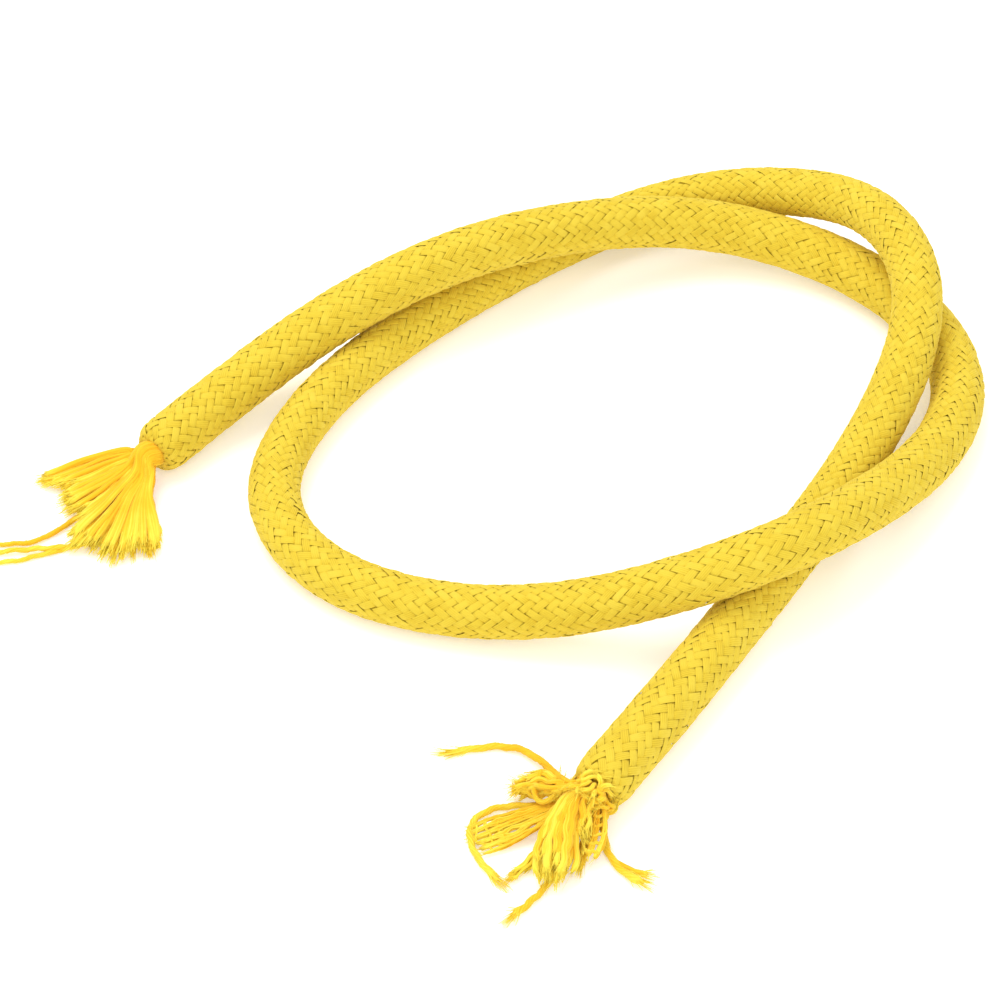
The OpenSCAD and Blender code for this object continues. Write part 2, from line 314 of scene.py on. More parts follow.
def plaits(first, count, way):
    """Ribbons of four yarns that turn one way (+1 or -1) round the rope, over two and under two.

    x counts the ribbons that this one has crossed since the left tie. It is on top for the two
    crossings about its middle m, then below for two."""
    pitch = 2 * np.pi / PLAITS
    total = 2 * rope.turned[-1] / pitch
    ribbon = np.arange(first, first + count)[:, None]
    middle = (0.5 - 2 * ribbon) % CROSSINGS if way > 0 else (1.5 + 2 * ribbon) % CROSSINGS
    floats = np.arange(-1, int(total / CROSSINGS) + 2)[:, None]
    beats = (CROSSINGS * floats + BEATS).ravel()
    x = np.clip(middle + beats, 0, total)
    turned = x * pitch / 2
    skin = np.interp(turned, rope.turned, rope.skin)
    radius = rope.look(rope.radius, skin)
    slant = np.arctan(rope.look(rope.turn, skin) * radius)
    # the whole braid turns a little this way and that along the rope
    drift = 0.3 * np.sin(skin / 140) + 0.1 * np.sin(skin / 37 + 1)
    angle = way * turned + ribbon * pitch + drift

    steps = int(total) + 2
    uneven = {k: np.stack([np.interp(x[n], np.arange(steps), row) for n, row in
                           enumerate(wander(count, steps, size))])
              for k, size in STRAY.items()}
    wave = np.cos(np.pi / 2 * (x - middle))
    rise = FLATNESS * np.tanh(DIVE * wave) / np.tanh(DIVE) + (1 - FLATNESS) * wave
    lift = PLAIT_RISE * (rise - 1) + uneven["lift"]

    relief = -PLAIT_CROWN * ACROSS**2 - YARN_GROOVE * GROOVES
    relief[[0, -1]] -= PLAIT_EDGE
    width = pitch * radius * np.cos(slant) * (1.0 + uneven["width"])
    across = (width / 2)[..., None] * ACROSS + uneven["slide"][..., None]
    lift = lift[..., None] + relief + uneven["tilt"][..., None] * ACROSS
    points = rope.point(skin[..., None] - way * np.sin(slant)[..., None] * across,
                        angle[..., None] + np.cos(slant)[..., None] * across / radius[..., None], lift)
    # how strong the painted shade in the grooves between the yarns is, float by float
    groove_shade = rng.uniform(0.15, 1, (count, steps))
    groove_shade = np.stack([row[np.round(x[n]).astype(int)] for n, row in enumerate(groove_shade)])
    # painted shade: darker where a plait dives under the others, in the grooves between its yarns and at
    # its edges
    sunk = np.clip(0.5 - 0.5 * rise, 0, 1) ** 1.5
    hollow = (CROWN_HOLLOW + SUNK_HOLLOW * sunk[..., None]
              + GROOVE_HOLLOW * groove_shade[..., None] * GROOVES + EDGE_HOLLOW * EDGES)
    strand = rng.uniform(-1, 1, (count, 1, 1))
    name = "plaits_%s_%02d" % ("right" if way > 0 else "left", first + 1)
    return sheets_object(name, points, braid_cotton, hollow=hollow, strand=strand)


def lining():
    """The inside of the braid, coloured in painted shade, seen only through the small gaps between
    plaits.
    """
    end = rope.skin[-1]
    skin = np.concatenate([np.linspace(0, DOME_SKIN, 60),
                           np.linspace(DOME_SKIN + 1, end - (DOME_SKIN + 1), 620),
                           np.linspace(end - DOME_SKIN, end, 60)])
    angle = np.arange(LINING_SIDES) * 2 * np.pi / LINING_SIDES
    rings = rope.point(skin[:, None] + 0 * angle, angle + 0 * skin[:, None],
                       np.full((len(skin), LINING_SIDES), -LINING_SUNK))
    return sheets_object("braid_lining", rings[None], lining_shade_cotton, closed=True, hollow=0.5, strand=0)



# ---- frayed ends --------------------------------------------------------------------------------

# Every clump and yarn of the two frayed ends, as in part.scad: middle line, radii, flatness
STRANDS = {
    "left_tuft_rear": (
        [[-82.3, 17.6, 7.9], [-84.5, 17.1, 8.4], [-88, 18.1, 7.3], [-92.5, 18.3, 5.2],
         [-97, 17.3, 3.9], [-101.5, 15.8, 2.8], [-105.5, 15.1, 1.9], [-108.4, 14.6, 1.3]],
        [0.75, 1.1, 1.7, 2.3, 2.7, 2.4, 1.6, 0.8], 0.8),
    "left_tuft_side": (
        [[-83.5, 18.6, 7.1], [-86.8, 15.6, 5.7], [-90.5, 12.8, 4.3], [-94.5, 10.4, 3.2],
         [-98.5, 8.2, 2.5], [-102.5, 6.2, 1.8]],
        [0.75, 1, 2, 2.9, 3.3, 2.6], 0.6),
    "left_tuft_corner": (
        [[-82.3, 17.7, 6.2], [-84.4, 14.1, 5.7], [-87.6, 8.4, 4.7], [-91.2, 2.4, 3.8],
         [-95.3, -3.6, 3.4], [-99.2, -9.5, 3]],
        [0.75, 1, 2, 3, 3.7, 3.4], 0.45),
    "left_tuft_front": (
        [[-81.3, 17, 5.4], [-83, 13, 4.3], [-84.5, 8.5, 3.6], [-86, 3, 3.2], [-87.3, -4.5, 2.4],
         [-88.7, -13.3, 1.9]],
        [0.75, 1, 1.5, 2, 3.3, 3.6], 0.5),
    "left_tuft_right": (
        [[-81, 16.8, 7], [-81.3, 12.5, 6], [-82, 8, 4.6], [-82.3, 3, 3.2], [-80.6, -3.5, 2.4],
         [-79.8, -11, 1.9]],
        [0.75, 1, 1.1, 1.3, 2.5, 3.2], 0.5),
    "left_long_yarn": (
        [[-83.4, 18.5, 5.4], [-86.5, 15.2, 3.2], [-90.5, 11, 1], [-95, 6, 0.7], [-100, 0.5, 0.7],
         [-105, -5, 0.7], [-110, -7.5, 0.7], [-116, -7, 0.7], [-121, -7.5, 0.7]],
        [0.6, 0.6, 0.65, 0.7, 0.7, 0.7, 0.65, 0.6, 0.5], 1),
    "left_low_yarn": (
        [[-82.3, 17.7, 4.6], [-84.6, 13.2, 2], [-87.6, 7.5, 0.7], [-90.5, 1.5, 0.7],
         [-93.5, -4.5, 0.7], [-98.5, -8, 0.7], [-104.5, -10, 0.7], [-110, -12.5, 0.7],
         [-115, -13.5, 0.7], [-119, -13, 0.7]],
        [0.6, 0.6, 0.65, 0.65, 0.65, 0.65, 0.65, 0.6, 0.6, 0.5], 1),
    "right_long_yarn": (
        [[19.6, -90.7, 6.2], [17.5, -89.6, 5.6], [15, -85.5, 3.4], [11.5, -79, 2],
         [7.5, -74.5, 1.3], [3, -72.6, 1], [-3, -73.2, 0.9], [-10, -74.8, 0.9]],
        [0.75, 0.9, 0.9, 0.9, 0.85, 0.85, 0.85, 0.9], 1),
    "right_tuft_upper": (
        [[20.2, -91.2, 8.2], [17.5, -92.1, 8], [14, -90.6, 6.6], [10.5, -88.6, 5], [8, -87.6, 3.9],
         [5.5, -87.2, 3]],
        [0.75, 1.5, 2.5, 2.8, 2.7, 2], 0.8),
    "right_curled_yarn": (
        [[20.2, -91.2, 4.2], [15.5, -91.4, 2.6], [10, -90.9, 1.2], [5, -90.5, 0.8], [-0.5, -91.6, 0.8],
         [-4.5, -95, 0.8], [-4.8, -101, 0.8], [-2.6, -107, 0.9], [2, -112.2, 0.9]],
        [0.7, 0.7, 0.75, 0.8, 0.8, 0.8, 0.8, 0.8, 0.9], 1),
    "right_net": (
        [[20.9, -91.8, 6.2], [15.8, -93.9, 4.7], [10.7, -95.4, 3], [6, -97, 1.7],
         [1.8, -98.6, 1.1], [-1.4, -100.2, 1]],
        [0.75, 1.3, 2.8, 3.9, 4.6, 4.1], 0.22),
    "right_tuft_centre": (
        [[21.7, -92.5, 8.9], [18, -95, 9.6], [15.6, -99, 8], [14.2, -104, 6], [13.1, -109, 4.8],
         [12.4, -114.2, 3.6]],
        [0.75, 1.9, 3, 4, 4.9, 3.5], 0.6),
    "right_tuft_mid": (
        [[22.5, -93, 6.2], [17.6, -97.6, 4.4], [13.4, -101.6, 2.7], [10, -105.2, 1.7],
         [7, -108.8, 1.2], [4, -111.6, 0.9]],
        [0.75, 1, 1.3, 1.4, 1.4, 0.9], 0.7),
    "right_tuft_low": (
        [[23.2, -93.5, 4.3], [21.3, -98, 2.4], [19.9, -102, 1.4], [19.1, -105.5, 1.2],
         [18.5, -109, 1.1]],
        [0.75, 1, 1.4, 1.5, 1.2], 0.7),
    "right_low_yarn": (
        [[21.6, -92.6, 3.6], [18.8, -98.2, 1.6], [16, -104, 0.8], [13.4, -110.5, 0.8],
         [10.4, -116, 0.8], [7.2, -119.5, 0.9], [4.2, -122.5, 1]],
        [0.7, 0.75, 0.75, 0.75, 0.75, 0.8, 1.0], 0.9),
    "right_braid_flap": (
        [[23.1, -93.7, 8.1], [22.5, -97, 6.6], [22.3, -100.5, 4.8], [21.8, -104, 3.6],
         [20.6, -107.5, 3]],
        [0.75, 1.8, 2.6, 2.4, 1.5], 0.5),
    "right_side_yarn": (
        [[24, -94, 6.2], [24, -97.8, 3.2], [24.2, -102.3, 1.4], [25.8, -107, 0.8],
         [28.5, -110.6, 0.9], [32, -113.6, 1.2]],
        [0.7, 0.75, 0.8, 0.8, 0.9, 1.1], 1),
}

# What each is made of: the piece's name, then how. A clump is a count of soft locks side by side, a
# fan is one tuft of the left end's fan, counted from the rear, and a yarn is one twisted lock with a
# brush of threads at its tip.
MADE_OF = {
    "left_tuft_rear": ("left_tuft_rear", dict(fan=0, count=17)),
    "left_tuft_side": ("left_tuft_side", dict(fan=1, count=17)),
    "left_tuft_corner": ("left_tuft_corner", dict(fan=2, count=22)),
    "left_tuft_front": ("left_tuft_front", dict(fan=3, count=19)),
    "left_tuft_right": ("left_tuft_right", dict(fan=4, count=16)),
    "left_long_yarn": ("left_yarns", dict(yarn=True, brush=16)),
    "left_low_yarn": ("left_yarns", dict(yarn=True, brush=16)),
    "right_tuft_upper": ("right_tuft_upper", dict(count=26, thick=(0.42, 0.6), loose=1.1, wave=0.45,
                                                  fluff=20)),
    "right_tuft_centre": ("right_tuft_centre", dict(count=42, thick=(0.5, 0.76), spread=0.97, loose=0.5,
                                                    fluff=9)),
    "right_tuft_mid": ("right_tuft_mid", dict(count=12, thick=(0.3, 0.45))),
    "right_braid_flap": ("right_braid_flap", dict(woven="flap")),
    "right_net": ("right_net", dict(woven="net")),
    "right_curled_yarn": ("right_curled_yarn", dict(yarn=True, brush=24)),
    "right_long_yarn": ("right_yarns", dict(yarn=True, brush=34)),
    "right_low_yarn": ("right_yarns", dict(yarn=True, brush=34)),
    "right_tuft_low": ("right_yarns", dict(count=12, thick=(0.35, 0.5))),
    "right_side_yarn": ("right_yarns", dict(yarn=True, brush=30)),
}
# Loops and forks that have no node of their own: the piece that they are part of, then as above
EXTRAS = [
    ("right_tuft_upper", [[10, -88, 7], [8.8, -90, 5.6], [9.6, -92.6, 4.4], [12, -93.6, 4.6],
                          [14, -92.4, 6.2], [14.6, -90.2, 8.4]],
     [0.6, 0.65, 0.65, 0.65, 0.65, 0.6], 1, dict(yarn=True, brush=4)),
    ("right_tuft_centre", [[22, -92.8, 9.2], [20.8, -95, 9.8], [20, -98, 8.4], [19.6, -101, 6.8],
                           [19.4, -103.8, 5.4]],
     [0.9, 1.7, 2, 1.9, 1.4], 0.8, dict(count=14, thick=(0.46, 0.64), loose=0.6, wave=0.35)),
    ("left_yarns", [[-90, -2, 0.8], [-94, -6, 0.8], [-99, -8.5, 0.9], [-105, -9, 1.2],
                    [-111, -9.6, 1.2], [-117, -10, 0.9], [-121, -10.2, 0.8]],
     [0.5, 0.7, 0.8, 0.75, 0.7, 0.6, 0.5], 1, dict(yarn=True, brush=16)),
    ("right_yarns", [[27.6, -107.6, 1], [29.6, -109.4, 1.1], [31.4, -110.4, 1.4], [33, -111, 1.8]],
     [0.5, 0.6, 0.6, 0.6], 1, dict(yarn=True, brush=24)),
]
ROOT_GIRTH = 1.25      # a clump is at least this wide where it leaves its neck, so the neck is full
ROOT_DEPTH = 2.0       # and it starts this far down inside the neck
LINE_ROWS = 56         # points along a lock
HAIR_ROWS = 9          # points along a hair
GROUND = 0.03          # nothing comes nearer to the table than this

# A clump's locks
LOCK_SHARE = 0.27      # radius of a lock, as a part of its clump's, within the limits of thick
LOCK_TURN = 2.4        # turn from one lock to the next, in radians: the golden angle
LOCK_FLAT = 0.85
SHORTEST = 0.22        # the shortest lock stops this part of its length before the tip
YARN_WAVE = 0.12

# How each kind of clump frays: ridges round a lock, how uneven its cut end is, how strong the painted
# shade in its hollows is, stout threads for each lock in the brush at its tip and their painted shade,
# and fine fluff for each lock and its painted shade (low values give painted light)
FRAYS = {
    "fan": dict(ridges=7, ragged=0.7, deep=1.25, brush=20, brush_hollow=0.05, fluff=14, fluff_hollow=0.2),
    "woven": dict(ridges=3, ragged=0.2, deep=0.5, brush=0.25, brush_hollow=0.12, fluff=1,
                  fluff_hollow=0.12),
    "yarn": dict(ridges=7, ragged=0.2, deep=0.5, brush_hollow=0.05, fluff_hollow=0.12),
    "clump": dict(ridges=7, ragged=0.7, deep=0.5, brush=11, brush_hollow=0.12, fluff=14,
                  fluff_hollow=0.12),
}
YARN_TWIST = 12        # length of one turn of a yarn's twist
LOCK_TWIST = 0.25      # turns of a loose lock over its whole length
YARN_FLUFF = 6         # fluff for each millimetre of a yarn
# A thread of a brush or of fluff: how far back from the tip it starts, how long it runs, how far it
# strays, and its radius
YARN_BRUSH = dict(back=(3, 5), run=(3, 6), reach=(0.4, 2), thick=(0.09, 0.16))
LOCK_BRUSH = dict(back=(1.5, 3.5), run=(1.4, 4), reach=(0.1, 0.7), thick=(0.09, 0.16))
FLUFF = dict(run=(2, 6), reach=(0.1, 0.7), thick=(0.03, 0.06))
FLUFF_BACK = (0.5, 0.7)        # from this many millimetres to this part of the lock's length

# The left fan from rear to right, and how far its edge draws back between its tufts
FAN = ["left_tuft_rear", "left_tuft_side", "left_tuft_corner", "left_tuft_front", "left_tuft_right"]
FAN_NOTCH = [0.1, 0.2, 0.22, 0.05, 0.03, 0.06]
FAN_SPREAD = 1.1       # a tuft spreads this much of the way to the tufts beside it
FAN_REAR, FAN_RIGHT = 0.35, 0.4        # how far the end tufts spread outwards, as a part of inwards
FAN_SHORTEST = 0.08
FAN_LAYERS = 1.3       # height that the locks of a tuft are spread over, as a part of its girth
FAN_TOP = 0.6          # locks above this layer run up over the tie
FAN_RADII = ([0, 0.12, 0.3, 1], [0.42, 0.45, 0.6, 0.95])
# Over the tie: distance from the rope's axis, distance out past the tie, turn back round the neck
OVER_TIE = ((2, -2, 0.8), (3.1, -0.8, 0.65), (3.45, 0.4, 0.4), (3.2, 1.9, 0.15), (2.7, 3.6, 0))
JOIN_ROWS = [13, 21, 29, 38, 47, 55]   # points of a lock that it then follows

# The ruff's yarns take these three shapes in turn, as distance from the rope's axis and distance out
# past the tie: curled back beside the tie, standing out, and curled forwards
RUFF_YARNS = 54
RUFF_SHAPES = [[(2.6, -0.5), (3.4, 0.9), (4.5, 1.9), (5.2, 1.6), (5.5, 0.5), (5.0, -0.7)],
               [(1.4, -0.5), (2.3, 0.8), (3.5, 2.4), (4.6, 3.8), (5.4, 5.0), (5.9, 6.0)],
               [(2.0, 0.0), (3.9, 1.4), (5.4, 1.8), (5.8, 3.4), (4.7, 4.6), (5.0, 6.4)]]
RUFF_RADII, RUFF_FLATNESS = [0.4, 0.46, 0.52, 0.54, 0.54, 0.45], 0.9
RUFF_MAKE = dict(count=1, brush=9, wave=0.4, fluff=15)
RUFF_LOWEST = 0.6      # its yarns' centre lines stay this far above the table

# The two open weaves. Threads gather in bands over a stretch (start, length), the cross threads lie
# at places along it, and a hole (place along, place across) pushes threads apart.
WEAVES = {
    "net": dict(count=120, bands=6, thin=(0.17, 0.25), gather=(0.74, 0.1), cross=(0.8, 0.89, 0.98),
                cross_r=0.34, longer=2.2, domed=0, raised=0, holes=((0.68, -0.3), (0.5, -0.62))),
    "flap": dict(count=30, bands=3, thin=(0.26, 0.36), gather=(0, 0.2),
                 cross=(0.24, 0.38, 0.52, 0.66, 0.8, 0.94), cross_r=0.48, longer=0, domed=0.5,
                 raised=0.6, holes=()),
}


def guide_line(guide, reach):
    """Points along a guide, one line for each reach, and their places from 0 to 1."""
    guide = np.array(guide, float)
    guide[0] += ROOT_DEPTH * unit(guide[0] - guide[1])
    along = np.linspace(0, 1, LINE_ROWS)
    t = (along * reach * (len(guide) - 1)).ravel()
    return along, t, spline(guide, t).reshape(len(reach), LINE_ROWS, 3)


def bundle(guide, girths, flat, count=1, thick=(0.38, 0.8), loose=0.5, spread=1, wave=0.18, yarn=False,
           **_):
    """Lines that fill a clump side by side, with their radii and how deep each one lies in it.

    loose is how far they stray towards their tips, and wave is the size of their crimp."""
    reach = 1 - (0 if yarn else SHORTEST) * rng.uniform(0, 1, (count, 1)) ** 1.5
    along, t, middle = guide_line(guide, reach)
    spans = len(guide) - 1
    girth = spline(np.array(girths, float)[:, None], t).reshape(count, LINE_ROWS)
    _, side, up = axes_along(middle)
    k = np.arange(count)[:, None] + 0.5
    radii = np.clip(LOCK_SHARE * girth, *thick) if count > 1 else girth
    out = np.sqrt(k / count) if count > 1 else 0 * k
    turn = k * LOCK_TURN
    room = np.maximum(girth, ROOT_GIRTH) - 0.7 * radii if count > 1 else girth
    wave = YARN_WAVE if yarn else wave
    gone = np.cumsum(np.linalg.norm(np.gradient(middle, axis=1), axis=2), axis=1)
    offset = []
    for _ in range(2):
        stray = np.stack([np.interp(along * spans, np.arange(spans + 1), row)
                          for row in wander(count, spans + 1, 0.45)])
        crimp = np.sin(gone * rng.uniform(0.9, 1.5, (count, 1)) + rng.uniform(0, 6, (count, 1)))
        offset.append((loose * along * stray, wave * np.minimum(1, 2 * along) * crimp))
    right = room * spread * (out * np.cos(turn) + offset[0][0]) + offset[0][1]
    over = flat * (room * (out * np.sin(turn) + offset[1][0]) + offset[1][1])
    lines = middle + right[..., None] * side + over[..., None] * up
    # how deep each lock lies in its clump, for the painted shade
    depth = 0.5 - 0.5 * out * np.sin(turn)
    return along, lines, radii, depth


def fan(place, count):
    """Lines of one tuft of the left fan. They spread half way to the tufts beside it, and the top
    ones run up over the tie and into the closed sheath."""
    beside = FAN_SPREAD * ((np.arange(count) + rng.uniform(0.2, 0.8, count)) / count - 0.5)
    notch = np.where(beside > 0, FAN_NOTCH[place + 1], FAN_NOTCH[place]) * (2 * np.abs(beside)) ** 2
    reach = (1 - FAN_SHORTEST * rng.uniform(0, 1, count) ** 1.5 - notch)[:, None]
    along, t, own = guide_line(STRANDS[FAN[place]][0], reach)
    rear = guide_line(STRANDS[FAN[max(place - 1, 0)]][0], reach)[2]
    last = len(FAN) - 1
    right = guide_line(STRANDS[FAN[min(place + 1, last)]][0], reach)[2]
    if place == 0:
        rear = own - FAN_REAR * (right - own)
    if place == last:
        right = own + FAN_RIGHT * (own - rear)
    beside = beside[:, None, None]
    lines = own + beside * np.where(beside > 0, right - own, own - rear)
    girth = spline(np.array(STRANDS[FAN[place]][1], float)[:, None], t).reshape(count, LINE_ROWS)
    layer = rng.permutation(count)[:, None] / (count - 1)
    lines[..., 2] += FAN_LAYERS * (layer - 0.5) * STRANDS[FAN[place]][2] * girth
    for axis in range(3):
        crimp = rng.uniform(0.3, 0.8, (count, 1)) * 30 * along + rng.uniform(0, 6, (count, 1))
        size = rng.uniform(0.1, 0.5, (count, 1)) * (0.5 if axis == 2 else 1)
        lines[..., axis] += size * np.minimum(1, 2 * along) * np.sin(crimp)
    # the top locks run from inside the sheath over the tie, spread round the neck's upper side
    end, out, side, up = rope.centre[0], -rope.heading[0], rope.side[0], rope.up[0]
    for n in np.flatnonzero(layer[:, 0] > FAN_TOP):
        part = (place + 0.5 + beside[n, 0, 0]) / 5
        angle = np.pi * (1.05 - 0.95 * part) + rng.uniform(-0.2, 0.2)
        path = [end + ahead * out + radial * (np.cos(angle - back) * side + np.sin(angle - back) * up)
                for radial, ahead, back in OVER_TIE]
        path += list(lines[n, JOIN_ROWS])
        lines[n] = spline(path, along * (len(path) - 1))
    radii = np.interp(along, *FAN_RADII) * rng.uniform(0.72, 1.2, (count, 1))
    # how deep each lock lies, for the painted shade: lower layers darker, the locks over the tie lit
    return along, lines, radii, np.where(layer > FAN_TOP, 0, 1 - layer)


def woven(guide, girths, flat, kind):
    """Lines of a loose open weave: bands of threads that run out from the neck, and cross threads."""
    weave = WEAVES[kind]
    count, last_row = weave["count"], LINE_ROWS - 1
    along, t, middle = guide_line(guide, np.ones((1, 1)))
    middle = middle[0]
    girth = np.maximum(spline(np.array(girths, float)[:, None], t)[:, 0], ROOT_GIRTH)
    _, side, _ = axes_along(middle)
    middle = middle + (weave["longer"] * np.clip((along - 0.8) / 0.2, 0, 1)[:, None]
                       * unit(middle[-1] - middle[-9]))
    place = np.linspace(-1, 1, count)[:, None]
    gaps = weave["bands"] - 1
    band = np.round((place + 1) / 2 * gaps) / gaps * 2 - 1
    start, length = weave["gather"]
    gather = np.clip((along - start) / length, 0, 1)
    across = place + 0.5 * (band - place) * gather + 0.025 * wander(count, LINE_ROWS, 1)
    for spot, hole in weave["holes"]:
        near = np.exp(-(((across - hole) / 0.22) ** 2) - ((along - spot) / 0.05) ** 2)
        across += 0.16 * np.sign(place - hole) * near
    rise = rng.uniform(-0.6, 1, (count, 1)) * flat * girth * (1 - 0.6 * along)
    rise = rise + weave["domed"] * (1 - across**2)
    run = middle + (across * girth)[..., None] * side
    run[..., 2] += rise
    lines, radii = [run], [rng.uniform(*weave["thin"], (count, 1)) * np.ones(LINE_ROWS)]
    over = np.linspace(-1, 1, LINE_ROWS)
    for spot in weave["cross"]:
        # a cross thread bows back at both ends and runs over and under the others
        bowed = spot + 0.015 * np.sin(5 * over + 40 * spot) - 0.06 * over**2
        index = np.clip(bowed, 0, 1) * last_row
        thread = np.stack([np.interp(index, np.arange(LINE_ROWS), middle[:, k]) for k in range(3)], -1)
        reach = over * np.interp(index, np.arange(LINE_ROWS), girth)
        thread += reach[:, None] * side[int(spot * last_row)]
        thread[:, 2] += 0.25 + 0.12 * np.sin(14 * over) + weave["raised"] * (1 - over**2)
        lines.append(thread[None])
        radii.append(np.full((1, LINE_ROWS), weave["cross_r"]))
    lines, radii = np.concatenate(lines), np.concatenate(radii)
    # how deep each thread lies, for the painted shade: the bands deeper, the cross threads on top lit
    depth = np.full((len(lines), 1), 0.6)
    depth[count:] = 0.1
    return along, lines, radii, depth


def locks(along, lines, radii, depth, ridges, turns, ragged, deep):
    """Soft bundles of fibres: tubes with fine ridges along them, drawn in at the tip.
    Gives the sheet of points and their painted shade: darker in the grooves, near the root and for
    locks that lie deep, and painted light at the frayed tips."""
    count, sides = len(lines), 2 * ridges
    heading, side, up = axes_along(lines)
    j = np.arange(sides)
    turn = 2 * np.pi * (turns * along[:, None] + j / sides) + rng.uniform(0, 6, (count, 1, 1))
    groove = rng.uniform(0.3, 1, (count, 1, sides)) * (j % 2)
    near_tip, near_root = np.clip((along - 0.93) / 0.07, 0, 1), np.clip(1 - along / 0.03, 0, 1)
    close = 1 - 0.94 * near_tip**2 - 0.9 * near_root**2
    size = (radii * close)[..., None] * (1 - 0.16 * groove + rng.normal(0, 0.06, (count, 1, sides)))
    spokes = (np.cos(turn)[..., None] * side[:, :, None]
              + LOCK_FLAT * np.sin(turn)[..., None] * up[:, :, None])
    points = lines[:, :, None] + size[..., None] * spokes
    fray = np.clip((along - 0.75) / 0.25, 0, 1) ** 2
    uneven = fray[:, None] * rng.uniform(-1, 1, (count, 1, sides)) * ragged
    points += uneven[..., None] * heading[:, :, None]
    # painted shade near the root, for locks that lie deep and in the grooves between ridges; painted
    # light at the frayed tips
    root = (0.2 + 0.55 * depth) * (1 - along) ** 1.3
    hollow = deep * (0.14 + root + 0.35 * depth * (1 - along))[..., None]
    hollow = hollow + 0.38 * groove - 0.3 * fray[:, None]
    return points, np.clip(hollow, 0, 1)


def hairs(lines, radii, count, back, run, reach, thick):
    """Loose threads. Each leaves a line at a distance back from its tip and runs on for a length."""
    n, steps = lines.shape[:2]
    which = rng.integers(0, n, count)
    length = np.linalg.norm(np.diff(lines, axis=1), axis=2).sum(axis=1)[which][:, None]
    start = 1 - rng.uniform(*back, (count, 1)) / length
    place = start + rng.uniform(*run, (count, 1)) / length * np.linspace(0, 1, HAIR_ROWS)
    index = np.clip(place, 0, 1) * (steps - 1)
    low = np.minimum(index.astype(int), steps - 2)
    f = (index - low)[..., None]
    threads = lines[which[:, None], low] * (1 - f) + lines[which[:, None], low + 1] * f
    tail = unit(lines[which, -1] - lines[which, -3])
    threads += (np.clip(place - 1, 0, None) * length)[..., None] * tail[:, None]
    away = unit(rng.normal(0, 1, (count, 3)) * [1, 1, 0.6])
    grow = np.linspace(0, 1, HAIR_ROWS)[:, None] ** 1.4
    inside = 0.8 * radii[which, -8][:, None, None] * rng.uniform(0, 1, (count, 1, 1)) ** 0.5
    threads += away[:, None] * (inside + grow * rng.uniform(*reach, (count, 1, 1)))
    taper = np.linspace(1, 0.45, HAIR_ROWS) * rng.uniform(*thick, (count, 1))
    threads[..., 2] = np.maximum(threads[..., 2], taper + GROUND)
    return threads, taper


def frayed(name, clumps):
    """One object from clumps, each (lines as bundle() gives them, how it is made)."""
    made = []

    def add(points, hollow, count, material):
        points[..., 2] = np.maximum(points[..., 2], GROUND)
        made.append(sheets_object("%s_%d" % (name, len(made)), points, material, closed=True,
                                  hollow=hollow, strand=rng.uniform(-1, 1, (count, 1, 1))))

    for (along, lines, radii, depth), make in clumps:
        kind = next((key for key in ("fan", "woven", "yarn") if key in make), "clump")
        fray, yarn, count = FRAYS[kind], kind == "yarn", len(lines)
        length = np.linalg.norm(np.diff(lines[0], axis=0), axis=1).sum()
        points, hollow = locks(along, lines, radii, depth, fray["ridges"],
                               length / YARN_TWIST if yarn else LOCK_TWIST, fray["ragged"], fray["deep"])
        add(points, hollow, count, frayed_cotton)
        # a brush of stout threads at the tips, then fine fluff all along
        brush = make["brush"] if "brush" in make else int(fray["brush"] * count)
        threads, thick = hairs(lines, radii, brush, **(YARN_BRUSH if yarn else LOCK_BRUSH))
        add(tubes(threads, thick, 6), fray["brush_hollow"], brush, fluff_cotton)
        each = make.get("fluff", int(YARN_FLUFF * length) if yarn else fray.get("fluff"))
        threads, thick = hairs(lines, radii, each * count, (FLUFF_BACK[0], FLUFF_BACK[1] * length),
                               **FLUFF)
        add(tubes(threads, thick, 4), fray["fluff_hollow"], each * count, fluff_cotton)
    return join(name, made)


def join(name, objects):
    with bpy.context.temp_override(active_object=objects[0], object=objects[0],
                                   selected_objects=objects, selected_editable_objects=objects):
        bpy.ops.object.join()
    objects[0].name = objects[0].data.name = name
    return objects[0]


def stands_for(obj, slot, *nodes):
    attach(obj, "root")
    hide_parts(*nodes)
    return obj


def frayed_ends():
    """The pieces of both ends. Yarns that share a piece stand for several CAD nodes."""
    pieces = []
    for piece in dict.fromkeys(piece for piece, _ in MADE_OF.values()):
        nodes = [n for n, (owner, _) in MADE_OF.items() if owner == piece]
        clumps = []
        for n in nodes:
            make = MADE_OF[n][1]
            if "fan" in make:
                lines = fan(make["fan"], make["count"])
            elif "woven" in make:
                lines = woven(*STRANDS[n], make["woven"])
            else:
                lines = bundle(*STRANDS[n], **make)
            clumps.append((lines, make))
        clumps += [(bundle(*shape, **make), make) for owner, *shape, make in EXTRAS if owner == piece]
        pieces.append(stands_for(frayed(piece + "_fibres", clumps), "frayed_yarn", *nodes))
    return pieces


def ruff():
    """Cut yarns round the right neck: some curl back beside the tie, some stand out, some curl."""
    end, out, side, up = rope.centre[-1], rope.heading[-1], rope.side[-1], rope.up[-1]
    clumps = []
    for n in range(RUFF_YARNS):
        angle = 2 * np.pi * (n + rng.uniform(-0.5, 0.5)) / RUFF_YARNS
        lean, size = rng.uniform(-0.9, 0.9), rng.uniform(0.75, 1.1)
        guide = []
        for k, (radial, ahead) in enumerate(RUFF_SHAPES[n % len(RUFF_SHAPES)]):
            a = angle + lean * (k / 4) ** 1.5
            spot = end + ahead * size * out + radial * size * (np.cos(a) * side + np.sin(a) * up)
            guide.append([spot[0], spot[1], max(spot[2], RUFF_LOWEST)])
        clumps.append((bundle(guide, RUFF_RADII, RUFF_FLATNESS, **RUFF_MAKE), RUFF_MAKE))
    return stands_for(frayed("right_ruff_yarns", clumps), "frayed_yarn", "right_ruff")


